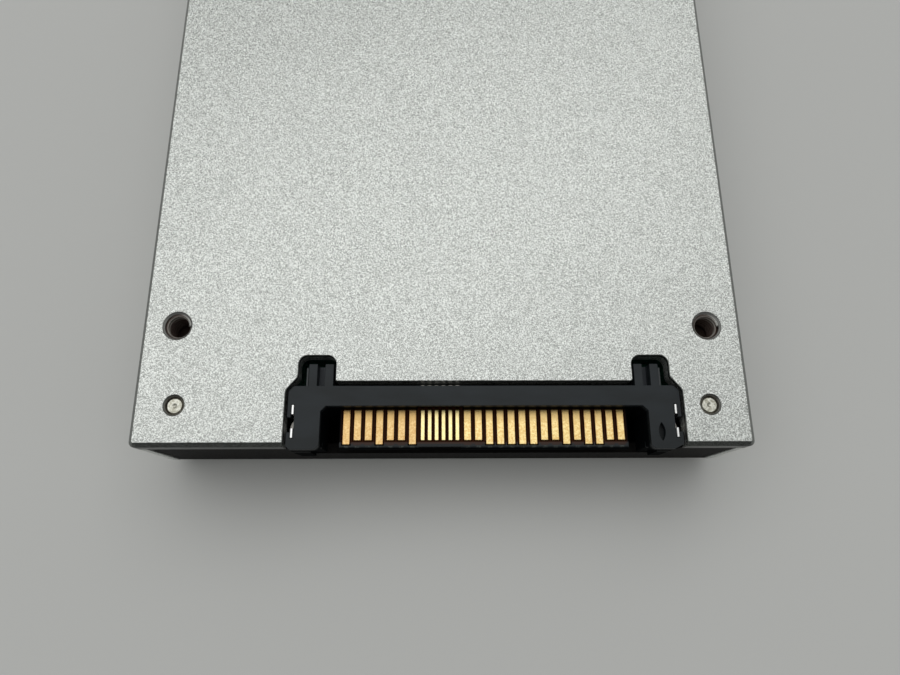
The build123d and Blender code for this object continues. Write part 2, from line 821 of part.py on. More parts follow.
def package_up(x, y, width, length, height, seat):
    """A package on an upward face: a thin base with a slightly smaller cap."""
    base = centred_block(x, y, width, length, seat, seat + package_base)
    cap = centred_block(x, y, width - package_cap_setback, length - package_cap_setback, seat, seat + height)
    return base + cap


def package_down(x, y, width, length, height, seat):
    """The same package hanging from a downward face."""
    base = centred_block(x, y, width, length, seat - package_base, seat)
    cap = centred_block(x, y, width - package_cap_setback, length - package_cap_setback, seat - height, seat)
    return base + cap


def make_flash(make_package, rows, seat):
    """A field of flash packages on one face of a board."""
    places = corners(flash_columns_x, rows)
    return [make_package(x, y, flash_width, flash_length, flash_height, seat) for x, y in places]


def make_flash_pads(rows, z_low, z_high):
    """One soft pad for each flash package of the given rows."""
    width = flash_width - pad_margin
    length = flash_length - pad_margin
    places = corners(flash_columns_x, rows)
    return [centred_block(x, y, width, length, z_low, z_high) for x, y in places]


def make_link_socket():
    """The receptacle of the board-to-board pair, under the main board."""
    low = board_under - socket_height
    body = centred_block(0, link_y, socket_length, socket_width, low, board_under)
    return body - centred_block(0, link_y, socket_trough_length, socket_trough_width, low - overrun,
                                board_under - socket_floor)


def make_link_plug():
    """The plug of the board-to-board pair, on the second board."""
    body = centred_block(0, link_y, socket_length, socket_width, second_top, second_top + plug_base_height)
    length = socket_trough_length - plug_gap * 2
    width = socket_trough_width - plug_gap * 2
    return body + centred_block(0, link_y, length, width, second_top, second_top + plug_reach)


def can_places():
    return [(i - (can_count - 1) / 2) * can_pitch for i in range(can_count)]


def lead_places():
    return [x + side * lead_spacing / 2 for x in can_places() for side in sides]


def make_hold_up_capacitors():
    """Lying capacitor cans with two flat leads bent up into the main board."""
    axis_z = board_under - can_seat - can_radius
    can = Rotation(-quarter_turn, 0, 0) * round_bar(0, 0, 0, can_length, can_radius)
    rear = can_front + lead_bite
    front = can_front - lead_reach - lead_thickness / 2
    low = axis_z - lead_thickness / 2
    high = axis_z + lead_thickness / 2
    lead = [(rear, low), (rear, high), (front + lead_thickness, high), (front + lead_thickness, board_top),
            (front, board_top), (front, low)]
    cans = []
    for x in can_places():
        body = Pos(x, can_front, axis_z) * can
        for side in sides:
            body += side_profile(lead, x + side * lead_spacing / 2, lead_width)
        cans.append(body)
    return cans


def make_power_inductors():
    """Moulded coils in a row beside the plug's supply."""
    coils = []
    for x in chip_row():
        coil = centred_block(x, coil_y, coil_side, coil_side, board_top, board_top + coil_height)
        coils.append(chamfer(coil.edges().filter_by(Axis.Z), coil_corner))
    return coils


def chip_row():
    return [(i - (chip_count - 1) / 2) * chip_pitch for i in range(chip_count)]


def make_power_chips():
    """Small power chips in front of the coils."""
    return [package_up(x, chip_y, chip_side, chip_side, chip_height, board_top) for x in chip_row()]


def make_ceramic_capacitors():
    """Rows of small ceramic capacitors on both sides of the controller and beside the link."""
    parts = []
    half_run = (ceramic_count - 1) / 2
    beside = controller_side / 2 + ceramic_row_gap
    link_beside = socket_width / 2 + ceramic_row_gap
    top = board_top + ceramic_height
    under = board_under - ceramic_height
    for i in range(ceramic_count):
        step = (i - half_run) * ceramic_pitch
        for side in sides:
            y = controller_y + step
            if side > 0 or abs(y - crystal_y) > ceramic_pitch:
                parts.append(centred_block(side * beside, y, ceramic_width, ceramic_length, board_top, top))
            y = link_y + side * link_beside
            parts.append(centred_block(step, y, ceramic_length, ceramic_width, under, board_under))
    return parts


def make_parts():
    """Every sub-part by name, in the modelling frame."""
    rear_row = second_rows[1:]
    upper_pad_top = flash_top + upper_pad_thickness
    middle_pad_under = second_top + flash_height
    middle_pad_top = middle_pad_under + middle_pad_thickness
    lower_flash_under = second_under - flash_height
    pad_side = controller_side - pad_margin
    controller_pad_top = controller_top + controller_pad_thickness
    crystal_top = board_top + crystal_height
    return {
        "base_case": [make_base_case()],
        "cover": [make_cover()],
        "cover_screws": make_cover_screws(),
        "connector_housing": [make_connector_housing()],
        "signal_contacts": [front_contact(x, front, blade_width) for x, front in signal_blades()],
        "power_contacts": [front_contact(x, front, blade_width) for x, front in power_blades()],
        "key_contacts": [key_contact(x, front) for x, front in key_blades()],
        "back_contacts": [back_contact(x) for x in back_blades()],
        "hold_down_clips": make_hold_down_clips(),
        "main_board": [make_main_board()],
        "second_board": [make_second_board()],
        "board_spacers": make_board_spacers(),
        "board_screws": make_board_screws(),
        "link_socket": [make_link_socket()],
        "link_plug": [make_link_plug()],
        "controller": [package_up(0, controller_y, controller_side, controller_side, controller_height,
                                  board_top)],
        "controller_pad": [centred_block(0, controller_y, pad_side, pad_side, controller_top,
                                         controller_pad_top)],
        "memory_packages": [package_up(side * memory_x, controller_y, memory_width, memory_length,
                                       memory_height, board_top) for side in sides],
        "main_flash_upper": make_flash(package_up, upper_rows, board_top),
        "main_flash_lower": make_flash(package_down, rear_row, board_under),
        "second_flash_upper": make_flash(package_up, rear_row, second_top),
        "second_flash_lower": make_flash(package_down, second_rows, second_under),
        "upper_flash_pads": make_flash_pads(upper_rows, flash_top, upper_pad_top),
        "middle_flash_pads": make_flash_pads(rear_row, middle_pad_under, middle_pad_top),
        "lower_flash_pads": make_flash_pads(second_rows, cover_thickness, lower_flash_under),
        "hold_up_capacitors": make_hold_up_capacitors(),
        "power_inductors": make_power_inductors(),
        "power_chips": make_power_chips(),
        "ceramic_capacitors": make_ceramic_capacitors(),
        "clock_crystal": [centred_block(crystal_x, crystal_y, crystal_width, crystal_length, board_top,
                                        crystal_top)],
    }


def write_parts():
    """Moves every sub-part under the common origin and writes it."""
    os.makedirs("parts", exist_ok=True)
    middle = (case_length - ear_proud) / 2
    for name, pieces in make_parts().items():
        placed = [Pos(0, -middle, 0) * piece for piece in pieces]
        solids = [solid for piece in placed for solid in piece.solids()]
        shape = solids[0] if len(solids) == 1 else Compound(solids)
        export_step(shape, f"parts/{name}.step")


write_parts()
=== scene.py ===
import json
import math

import bpy
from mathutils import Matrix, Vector


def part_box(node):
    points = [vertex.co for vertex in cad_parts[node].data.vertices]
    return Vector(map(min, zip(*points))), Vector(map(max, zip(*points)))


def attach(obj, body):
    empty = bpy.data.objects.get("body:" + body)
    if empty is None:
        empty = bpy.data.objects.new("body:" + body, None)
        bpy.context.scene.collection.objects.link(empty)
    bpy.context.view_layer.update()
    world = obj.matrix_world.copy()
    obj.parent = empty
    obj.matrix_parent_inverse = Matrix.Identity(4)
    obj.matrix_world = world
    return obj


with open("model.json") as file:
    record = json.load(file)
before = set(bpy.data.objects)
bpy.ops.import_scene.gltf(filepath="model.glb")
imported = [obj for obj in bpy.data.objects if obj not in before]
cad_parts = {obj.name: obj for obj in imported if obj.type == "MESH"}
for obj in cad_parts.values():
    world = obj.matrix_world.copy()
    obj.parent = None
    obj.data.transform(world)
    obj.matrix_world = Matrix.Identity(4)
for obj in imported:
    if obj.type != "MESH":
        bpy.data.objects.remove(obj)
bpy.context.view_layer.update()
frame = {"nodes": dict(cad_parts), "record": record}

# A 2.5 inch solid state drive, seen from its mounting face with the plug towards the viewer.
# Lengths are in metres, and sizes are written in millimetres times MM. A pair of lengths is a range: where a
# tone starts to turn, and where it has turned.
MM = 0.001
ROOT = "root"

# Camera: its place, its turn and its lens give the view of the drive's front half
CAMERA_PLACE = (-0.31 * MM, -59.881 * MM, 89.234 * MM)
CAMERA_TURN = (0.29319, -0.0130, -0.00448)
CAMERA_LENS = 26.813
CAMERA_NEAR = 1.0 * MM
SENSOR_WIDTH = 36.0

# Studio: a wide soft panel overhead, in a room that is darker behind the viewer and towards the horizon
FLOOR_SIZE = 3.0
FLOOR_COLOUR = (0.58, 0.58, 0.565)
FLOOR_SHADE = 0.97
FLOOR_CLOUD = 0.4
ROOM_LIGHT = 0.60
ROOM_COLOUR = (0.98, 1.0, 0.985, 1.0)
DARK_SHARE = 0.80
DARK_RANGE = (0.15, 0.85)
HORIZON_SHARE = 0.45
HORIZON_RANGE = (0.10, 0.85)
PANEL_PLACE = (-0.15, 0.34, 1.00)
PANEL_WIDTH = 1.90
PANEL_LENGTH = 0.90
PANEL_POWER = 5.0

# Screw threads: pitch, radii and widths of the ridge's crest and root, depth of its start, and its turns
THREAD_PITCH = 0.50 * MM
THREAD_CREST = 1.24 * MM
THREAD_ROOT = 1.52 * MM
THREAD_CREST_WIDTH = 0.10 * MM
THREAD_ROOT_WIDTH = 0.42 * MM
THREAD_START = 0.35 * MM
FACE_THREAD_TURNS = 7
SIDE_THREAD_TURNS = 3
THREAD_STEPS = 40

# Blasted metal: size and force of its grains, of the dust between them and of the broad cloud, and the level
# of grain and dust together that shows darkest
GRAIN_SIZE = 0.085 * MM
GRAIN_FORCE = 1.45
DUST_SIZE = 0.10 * MM
DUST_FORCE = 0.90
DARKEST_LEVEL = 0.68
CLOUD_SIZE = 14.0 * MM
CLOUD_FORCE = 0.12

# The mounting face's plate, by depth: the chamfer round it, and the plate's front below that
CHAMFER = 0.50 * MM
CHAMFER_TOP = (0.01 * MM, 0.04 * MM)
CHAMFER_END = (CHAMFER, CHAMFER * 1.04)
FACE_PLATE = 2.00 * MM
PLATE_END = (FACE_PLATE, FACE_PLATE * 1.02)
PLATE_FRONT = (0.01 * MM, 0.05 * MM)

# Threaded holes: distances from the axis at the flank of the thread and at the wall, then depths
HOLE_FLANK = (1.25 * MM, 1.36 * MM)
HOLE_WALL = (1.68 * MM, 1.76 * MM)
HOLE_LIP = (0.02 * MM, 0.10 * MM)
HOLE_MOUTH = (0.24 * MM, 0.34 * MM)
HOLE_DEEP = (0.4 * MM, 1.9 * MM)

# The case screws' heads, and the bores in which their tips show
SCREW_HEAD_RADIUS = 1.90 * MM
SCREW_BORE_WALL = (1.24 * MM, 1.30 * MM)
SCREW_BORE_LIP = (0.02 * MM, 0.25 * MM)

# Contacts: pitch and half width of the wide blades and of the narrow ones, and the shares of the half width
# between which a blade's margin starts
BLADE_PITCH = 1.27 * MM
BLADE_HALF = 0.40 * MM
KEY_BLADE_PITCH = 0.80 * MM
KEY_BLADE_HALF = 0.21 * MM
MARGIN_START = 0.80
MARGIN_END = 0.98

# Places on the plug, back from its front
SMUDGE_LINE = 0.58 * MM
SMUDGE_LENGTH = (0.06 * MM, 0.15 * MM)
BLADE_END = 0.87 * MM
BLADE_END_LENGTH = (0.08 * MM, 0.14 * MM)
GROOVE_START = (0.86 * MM, 0.96 * MM)
SHELF_END = (1.05 * MM, 1.15 * MM)
# Where the contacts' painted bright reflection gives way to the painted reflection of the dark bar, how
# softly, and how ragged
REFLECTION_LINE = 3.40 * MM
REFLECTION_BLUR = 0.80 * MM
REFLECTION_RAGGED = 0.5
BAR_FRONT = 4.90 * MM
BAR_REAR = 7.20 * MM
UNDER_BAR = (BAR_FRONT - 0.25 * MM, BAR_FRONT)
BEHIND_BAR = (BAR_REAR - 0.1 * MM, BAR_REAR)
TAB_START = (BAR_REAR, BAR_REAR + 0.1 * MM)

# Depths below the plug's top, and below the clips' tops
TONGUE_DEPTH = 2.35 * MM
TONGUE_FACE = (0.05 * MM, 0.15 * MM)
GROOVE_DEPTH = (TONGUE_DEPTH * 0.96, TONGUE_DEPTH)
MOUTH_DEEP = (0.1 * MM, 1.2 * MM)
TAB_DEEP = (0.8 * MM, 1.4 * MM)
CLIP_DEEP = (0.25 * MM, 1.2 * MM)

# Distances across the plug: from a blade's middle, from the middle of the narrow group, past the ends of the
# rows, and in from the plug's sides to the rails and the clips
BLADE_SIDE = (BLADE_HALF, BLADE_HALF * 1.1)
SMUDGE_SIDE = (0.15 * MM, 0.34 * MM)
KEY_GROUP_HALF = 2.60 * MM
KEY_GROUP_SIDE = (KEY_GROUP_HALF, KEY_GROUP_HALF * 1.05)
ROW_MARGIN = BLADE_PITCH * 0.3
RAIL_INSET = 1.98 * MM
RAIL_SIDE = (0.10 * MM, 0.13 * MM)
CLIP_INSET = 0.60 * MM
CLIP_RIM = (0.06 * MM, 0.09 * MM)

# The bare end of a capacitor can, and the tracks on the boards
BARE_LENGTH = 0.9 * MM
TRACK_GAP = 0.08 * MM
TRACK_LENGTH = 2.4 * MM
TRACK_PITCH = 0.36 * MM
TRACK_STAGGER = 0.37

# Samples of the nodes that round an edge
ROUNDING_SAMPLES = 6

# Tones of the blasted metal, the painted shade on its chamfer and front, and the painted light and shade in
# its holes
GRAIN_TONES = ((0.30, 0.31, 0.295, 1), (0.86, 0.88, 0.85, 1))
CHAMFER_PAINTED_SHADE = (0.16, 0.17, 0.16, 1)
PLATE_FRONT_PAINTED_SHADE = (0.05, 0.05, 0.049, 1)
CREST_PAINTED_LIGHT = (0.60, 0.57, 0.52, 1)
ROOT_PAINTED_SHADE = (0.06, 0.042, 0.034, 1)
HOLE_MOUTH_TONE = (0.30, 0.30, 0.285, 1)
HOLE_DEPTH_PAINTED_SHADE = (0.065, 0.040, 0.029, 1)
SCREW_BORE_SHADE = (0.20, 0.185, 0.16, 1)

# Tones of the plug's plastic, of the painted shade and light on it, and of the marks on it
PLASTIC_TONES = ((0.006, 0.009, 0.0105, 1), (0.012, 0.0165, 0.020, 1))
MOUTH_PAINTED_SHADE = (0.0015, 0.0018, 0.002, 1)
TAB_PAINTED_LIGHT = (0.034, 0.040, 0.048, 1)
GROOVE_PAINTED_GLOW = (0.034, 0.011, 0.004, 1)
BLADE_END_SHADE = (0.036, 0.011, 0.004, 1)
SMUDGE_TONE = (0.085, 0.095, 0.085, 1)
RAIL_PAINTED_HIGHLIGHT = (0.060, 0.065, 0.068, 1)

# Tones of the contacts: two for the painted bright reflection at the front of each row, one for the painted
# reflection of the dark bar behind it, and those that the rows share: painted shade at the margins, under the
# bar and behind it, and the grey of the key contacts' tails
COPPER_FRONT = ((0.74, 0.53, 0.25, 1), (0.58, 0.36, 0.14, 1))
COPPER_REAR = (0.58, 0.38, 0.15, 1)
YELLOW_FRONT = ((0.92, 0.74, 0.36, 1), (0.72, 0.48, 0.18, 1))
YELLOW_REAR = (0.68, 0.48, 0.20, 1)
PALE_FRONT = ((1.0, 0.88, 0.48, 1), (0.92, 0.74, 0.34, 1))
PALE_REAR = (0.95, 0.78, 0.38, 1)
MARGIN_SHADE = (0.42, 0.20, 0.07, 1)
UNDER_BAR_SHADOW = (0.035, 0.014, 0.006, 1)
BEHIND_BAR_SHADE = (0.016, 0.013, 0.010, 1)
KEY_TAIL_TONE = (0.60, 0.58, 0.52, 1)

# Tones of the metal fittings and the cover, with the clips' painted shade and the cover's black deepened by
# painted shade
CLIP_TONES = ((0.72, 0.72, 0.71, 1), (0.93, 0.93, 0.92, 1))
CLIP_DEPTH_SHADE = (0.78, 0.75, 0.70, 1)
CLIP_RIM_SHADE = (0.10, 0.10, 0.10, 1)
TIN_TONES = ((0.70, 0.70, 0.69, 1), (0.90, 0.90, 0.88, 1))
BRASS_TONES = ((0.62, 0.46, 0.20, 1), (0.80, 0.62, 0.30, 1))
ZINC_TONES = ((0.34, 0.33, 0.27, 1), (0.66, 0.655, 0.585, 1))
COVER_BLACK_AND_SHADE_TONES = ((0.004, 0.0037, 0.0034, 1), (0.009, 0.0083, 0.0077, 1))

# Tones of the pieces inside
MASK_TONES = ((0.006, 0.060, 0.036, 1), (0.010, 0.085, 0.050, 1))
TRACK_TONE = (0.012, 0.12, 0.07, 1)
SLEEVE_TONES = ((0.015, 0.018, 0.030, 1), (0.022, 0.026, 0.042, 1))
CAN_TONE = (0.75, 0.75, 0.75, 1)
PACKAGE_TONES = ((0.018, 0.018, 0.019, 1), (0.035, 0.035, 0.037, 1))
PAD_TONES = ((0.30, 0.33, 0.35, 1), (0.42, 0.45, 0.48, 1))
LINK_TONES = ((0.52, 0.46, 0.34, 1), (0.62, 0.56, 0.44, 1))
COIL_TONES = ((0.08, 0.08, 0.085, 1), (0.14, 0.14, 0.145, 1))
CERAMIC_TONES = ((0.36, 0.24, 0.13, 1), (0.46, 0.33, 0.20, 1))

mounts = {mount["name"]: mount for mount in frame["record"]["mounts"]}
nodes = frame["nodes"]
case_low, case_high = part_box("base_case")
plug_low, plug_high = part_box("connector_housing")
screw_low, screw_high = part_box("cover_screws")
signal_low, signal_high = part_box("signal_contacts")
power_low, power_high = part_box("power_contacts")
plug_middle = (plug_low.x + plug_high.x) / 2
plug_half = (plug_high.x - plug_low.x) / 2
key_middle = (signal_high.x + power_low.x) / 2


class Value:
    """One output of a shader tree. Its operators add Math nodes, so a sum reads as plain Python."""

    def __init__(self, finish, socket):
        self.finish = finish
        self.socket = socket

    def math(self, operation, *terms):
        values = {str(index): term for index, term in enumerate(terms)}
        return self.finish.add("ShaderNodeMath", {"operation": operation}, values)

    def __add__(self, other):
        return self.math("ADD", self, other)

    def __radd__(self, other):
        return self.math("ADD", other, self)

    def __sub__(self, other):
        return self.math("SUBTRACT", self, other)

    def __rsub__(self, other):
        return self.math("SUBTRACT", other, self)

    def __mul__(self, other):
        return self.math("MULTIPLY", self, other)

    def __rmul__(self, other):
        return self.math("MULTIPLY", other, self)

    def __pow__(self, other):
        return self.math("POWER", self, other)

    def abs(self):
        return self.math("ABSOLUTE", self)

    def step(self, low, high):
        """Zero below low, one above high and a smooth rise between them."""
        values = {"0": self, "1": low, "2": high}
        return self.finish.add("ShaderNodeMapRange", {"interpolation_type": "SMOOTHSTEP"}, values)

    def fall(self, low, high):
        """One below low, zero above high and a smooth fall between them."""
        return 1 - self.step(low, high)

    def near(self, middle, reach, end):
        """One within reach of a middle, and zero past its end on either side."""
        return (self - middle).abs().fall(reach, end)


class Finish:
    """A material or world that is built from nodes, with one method that adds any of them."""

    def __init__(self, name, made=None):
        self.made = made or bpy.data.materials.new(name)
        self.made.use_nodes = True
        self.tree = self.made.node_tree
        self.tree.nodes.clear()
        self.place = self.add("ShaderNodeTexCoord", {}, {}, "Generated" if made else "Object")

    def add(self, kind, settings, values, out=0):
        """A node of that kind: its settings first, then its inputs, given by name or by number."""
        node = self.tree.nodes.new(kind)
        for name, setting in settings.items():
            setattr(node, name, setting)
        for name, value in values.items():
            socket = node.inputs[int(name)] if name.isdigit() else node.inputs[name]
            if isinstance(value, Value):
                self.tree.links.new(value.socket, socket)
            else:
                socket.default_value = value
        return None if out is None else Value(self, node.outputs[out])

    def noise(self, size, detail=2.0, stretch=(1.0, 1.0, 1.0)):
        """Soft noise with lumps of that size, drawn out along the axes by stretch."""
        scale = tuple(1 / part for part in stretch)
        vector = self.add("ShaderNodeMapping", {}, {"Vector": self.place, "Scale": scale})
        values = {"Vector": vector, "Scale": 1 / size, "Detail": detail}
        return self.add("ShaderNodeTexNoise", {}, values, "Fac")

    def grains(self, size):
        """A random level for each grain of that size."""
        cells = self.add("ShaderNodeTexVoronoi", {}, {"Vector": self.place, "Scale": 1 / size}, "Color")
        return self.add("ShaderNodeSeparateColor", {}, {"Color": cells}, "Red")

    def axis(self, name):
        """The object's own X, Y or Z, or the direction's in a world."""
        return self.add("ShaderNodeSeparateXYZ", {}, {"Vector": self.place}, name)

    def wrapped(self, start, pitch):
        """The distance across from the nearest of the lines that start there and repeat at a pitch."""
        values = {"0": self.axis("X") - start, "1": pitch / 2, "2": -pitch / 2}
        return self.add("ShaderNodeMath", {"operation": "WRAP"}, values).abs()

    def below(self, top):
        """The depth below a height."""
        return top - self.axis("Z")

    def from_lines(self, names, middles, reaches):
        """The distance from the nearest of the parallel lines that lie mirrored about the middles."""
        offs = [(self.axis(name) - middle).abs() - reach
                for name, middle, reach in zip(names, middles, reaches)]
        return (offs[0] * offs[0] + offs[1] * offs[1]) ** 0.5

    def mix(self, share, first, second):
        """A colour between two colours."""
        values = {"0": share, "6": first, "7": second}
        return self.add("ShaderNodeMix", {"data_type": "RGBA"}, values, 2)

    def stain(self, colour, tone, mask, share):
        """A colour that turns to a tone by a share, where the mask lies. It lays painted light and shade as
        well as real marks.
        """
        return self.mix(mask * share, colour, tone)

    def relief(self, pattern, depth, edge):
        """Normals that follow a pattern of that depth, and turn softly at edges of that radius."""
        rounded = self.add("ShaderNodeBevel", {"samples": ROUNDING_SAMPLES}, {"Radius": edge}, "Normal")
        values = {"Height": pattern, "Distance": depth, "Normal": rounded}
        return self.add("ShaderNodeBump", {}, values)

    def surface(self, values, matt=None):
        """The surface itself, with a share of it that doesn't shine. Gives the finished material."""
        shader = self.add("ShaderNodeBsdfPrincipled", {}, values)
        if matt:
            plain = self.add("ShaderNodeBsdfPrincipled", {}, {
                "Base Color": values["Base Color"], "Roughness": 1.0, "Specular IOR Level": 0.0})
            shader = self.add("ShaderNodeMixShader", {}, {"0": matt, "1": shader, "2": plain})
        self.add("ShaderNodeOutputMaterial", {}, {"Surface": shader}, None)
        return self.made


def hole_tone(made, colour, away, depth):
    """Painted light and shade in a threaded hole: a grey mouth, crests painted bright as if lit, roots painted
    dark and depths painted dark brown as shade.

    Gives the colour and the share of the surface that lies in the hole.
    """
    # Painted light on the thread's crests, painted shade in its roots and in the hole's depths.
    flank = made.mix(away.step(*HOLE_FLANK), CREST_PAINTED_LIGHT, ROOT_PAINTED_SHADE)
    shaded = made.mix(depth.step(*HOLE_DEEP), flank, HOLE_DEPTH_PAINTED_SHADE)
    shaded = made.mix(depth.step(*HOLE_MOUTH), HOLE_MOUTH_TONE, shaded)
    inside = away.fall(*HOLE_WALL) * depth.step(*HOLE_LIP)
    return made.mix(inside, colour, shaded), inside


def case_holes(made, colour, depth):
    """The painted light and shade of the face holes, the side holes and the case screws' bores.

    Gives the colour and the share of the surface that lies in any of them.
    """
    dims = mounts["face_holes"]["dims"]
    half_x, half_y = dims["spacing_x_mm"] * MM / 2, dims["spacing_y_mm"] * MM / 2
    centre = Vector(mounts["face_holes"]["pos_m"])
    away = made.from_lines("XY", centre.xy, (half_x, half_y))
    colour, in_face = hole_tone(made, colour, away, depth)

    side_z = mounts["side_holes_left"]["pos_m"][2]
    away = made.from_lines("YZ", (centre.y, side_z), (half_y, 0.0))
    colour, in_side = hole_tone(made, colour, away, case_high.x - made.axis("X").abs())

    middle = (screw_low + screw_high) / 2
    reach = (screw_high - screw_low) / 2 - Vector((SCREW_HEAD_RADIUS, SCREW_HEAD_RADIUS, 0))
    away = made.from_lines("XY", middle.xy, reach.xy)
    # Painted shade on the walls of the bores round the screw tips.
    in_bore = away.fall(*SCREW_BORE_WALL) * depth.step(*SCREW_BORE_LIP)
    return made.mix(in_bore, colour, SCREW_BORE_SHADE), in_face + in_side + in_bore


def blasted_aluminium():
    """Sand-blasted and clear anodised: small bright and dark grains over a soft grey, with painted shade on
    the chamfer and the plate's front, and painted light and shade in the holes.
    """
    made = Finish("blasted_aluminium")
    dust = made.noise(DUST_SIZE, detail=1.0)
    grain = made.grains(GRAIN_SIZE) * GRAIN_FORCE + dust * DUST_FORCE - DARKEST_LEVEL
    level = grain + (made.noise(CLOUD_SIZE) - 0.5) * CLOUD_FORCE
    colour = made.mix(level.step(0.0, 1.0), *GRAIN_TONES)

    depth = made.below(case_high.z)
    # Painted shade: the chamfer is painted dark for the dark room that it reflects.
    chamfer = depth.step(*CHAMFER_TOP) * depth.fall(*CHAMFER_END)
    colour = made.stain(colour, CHAMFER_PAINTED_SHADE, chamfer, share=0.9)
    # Painted shade: the plate's front face is painted near-black, as it faces away from the light.
    front = (made.axis("Y") - case_low.y).fall(*PLATE_FRONT)
    front = front * depth.step(*CHAMFER_END) * depth.fall(*PLATE_END)
    colour = made.stain(colour, PLATE_FRONT_PAINTED_SHADE, front, share=0.9)

    colour, in_hole = case_holes(made, colour, depth)
    return made.surface({
        "Base Color": colour,
        "Metallic": 0.97 - in_hole * 0.40,
        "Roughness": (0.30 + level * 0.18) * (1 - chamfer * 0.55),
        "Normal": made.relief(grain, depth=0.012 * MM, edge=0.06 * MM)})


def tongue_marks(made, colour, back, shelf, rows):
    """Painted brown shade at the ends of the wide contacts' grooves, and grey smudges in front of them."""
    across = made.wrapped(signal_low.x + BLADE_HALF, BLADE_PITCH)
    beside_key = (made.axis("X") - key_middle).abs().step(*KEY_GROUP_SIDE)
    wide_rows = rows * beside_key
    # Painted shade just in front of each wide blade's end.
    ends = wide_rows * across.fall(*BLADE_SIDE) * back.near(BLADE_END, *BLADE_END_LENGTH)
    colour = made.stain(colour, BLADE_END_SHADE, ends * shelf, share=0.8)
    patchy = made.noise(size=0.25 * MM).step(0.35, 0.6)
    smudges = wide_rows * across.fall(*SMUDGE_SIDE) * back.near(SMUDGE_LINE, *SMUDGE_LENGTH) * patchy
    return made.stain(colour, SMUDGE_TONE, smudges, share=0.6)


def black_plastic():
    """Moulded glass-filled plastic with a fine dull grain, painted darker in its depths as shade, painted
    lighter in the tabs' grooves, painted brown in the contacts' grooves and with a painted highlight on the
    rails.
    """
    made = Finish("black_plastic")
    grain = made.noise(size=0.09 * MM, detail=3.0)
    flow = made.noise(size=2.2 * MM, stretch=(2.5, 1.0, 1.0))
    colour = made.mix(flow.step(0.25, 0.75), *PLASTIC_TONES)

    depth = made.below(plug_high.z)
    back = made.axis("Y") - plug_low.y
    x = made.axis("X")
    tabs = back.step(*TAB_START)
    shelf = depth.near(TONGUE_DEPTH, *TONGUE_FACE) * back.fall(*SHELF_END)
    # Painted shade: the plastic is painted darker and duller in the plug's depths, away from the tongue's
    # front and the tabs.
    depth_shade = depth.step(*MOUTH_DEEP) * (1 - tabs) * (1 - shelf)
    colour = made.stain(colour, MOUTH_PAINTED_SHADE, depth_shade, share=0.9)
    # Painted light: the deep parts of the tabs' grooves are painted lighter than the plastic, to lift the
    # shadow in them.
    colour = made.mix(tabs * depth.step(*TAB_DEEP), colour, TAB_PAINTED_LIGHT)

    rows = x.step(signal_low.x - ROW_MARGIN, signal_low.x) * x.fall(power_high.x, power_high.x + ROW_MARGIN)
    # Painted light and shade: the floors of the contacts' grooves are painted brown, for the light that the
    # gold throws into their shade.
    grooves = rows * depth.step(*GROOVE_DEPTH) * back.step(*GROOVE_START)
    colour = made.mix(grooves, colour, GROOVE_PAINTED_GLOW)
    colour = tongue_marks(made, colour, back, shelf, rows)
    # Painted highlight: a thin light line along each low rail beside the rear tabs.
    rail_highlight = (x - plug_middle).abs().near(plug_half - RAIL_INSET, *RAIL_SIDE) * tabs
    colour = made.mix(rail_highlight, colour, RAIL_PAINTED_HIGHLIGHT)
    return made.surface({
        "Base Color": colour,
        "Roughness": 0.40 + grain * 0.18,
        "Specular IOR Level": 0.3,
        "Normal": made.relief(grain, depth=0.006 * MM, edge=0.07 * MM)}, matt=depth_shade * 0.92)


def contact_gold(name, row, pitch, half_width, front_tones, rear_tone, end_tone=BEHIND_BAR_SHADE):
    """Plated contacts: a painted bright reflection at the front, a painted reflection of the dark bar further
    back, painted shade at the margins and under the bar, and the tails' tone behind the bar.
    """
    made = Finish(name)
    row_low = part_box(row)[0]
    back = made.axis("Y") - plug_low.y
    across = made.wrapped(row_low.x + half_width, pitch)
    streak = made.noise(size=0.12 * MM, stretch=(0.6, 5.0, 1.0))
    blotch = made.noise(size=0.22 * MM, detail=3.0)
    bright = made.mix(blotch.step(0.3, 0.7), *front_tones)
    # Painted reflections: each blade's front is painted bright as if it mirrors the light overhead, and
    # further back darker and browner as if it mirrors the dark bar.
    bar_reflection = (back + blotch * REFLECTION_RAGGED * MM).step(REFLECTION_LINE, REFLECTION_LINE + REFLECTION_BLUR)
    colour = made.stain(bright, rear_tone, bar_reflection, share=0.85)
    # Painted shade along the side edges of each blade.
    margin_shade = across.step(half_width * MARGIN_START, half_width * MARGIN_END)
    colour = made.stain(colour, MARGIN_SHADE, margin_shade, share=0.7)
    # Painted shadow where the blades run under the bar.
    colour = made.mix(back.step(*UNDER_BAR), colour, UNDER_BAR_SHADOW)
    # Behind the bar the tails take end_tone: painted shade, except on the key contacts, whose tails are grey.
    colour = made.mix(back.step(*BEHIND_BAR), colour, end_tone)
    return made.surface({
        "Base Color": colour,
        "Metallic": 1.0,
        "Roughness": 0.24 + streak * 0.2,
        "Normal": made.relief(streak, depth=0.004 * MM, edge=0.05 * MM)})


def plain_metal(name, tones, roughness):
    """Bright tinned or brass metal with faint drawing marks."""
    made = Finish(name)
    marks = made.noise(size=0.15 * MM, detail=3.0, stretch=(1.0, 1.0, 4.0))
    return made.surface({
        "Base Color": made.mix(marks, *tones),
        "Metallic": 1.0,
        "Roughness": roughness + marks * 0.15,
        "Normal": made.relief(marks, depth=0.004 * MM, edge=0.05 * MM)})


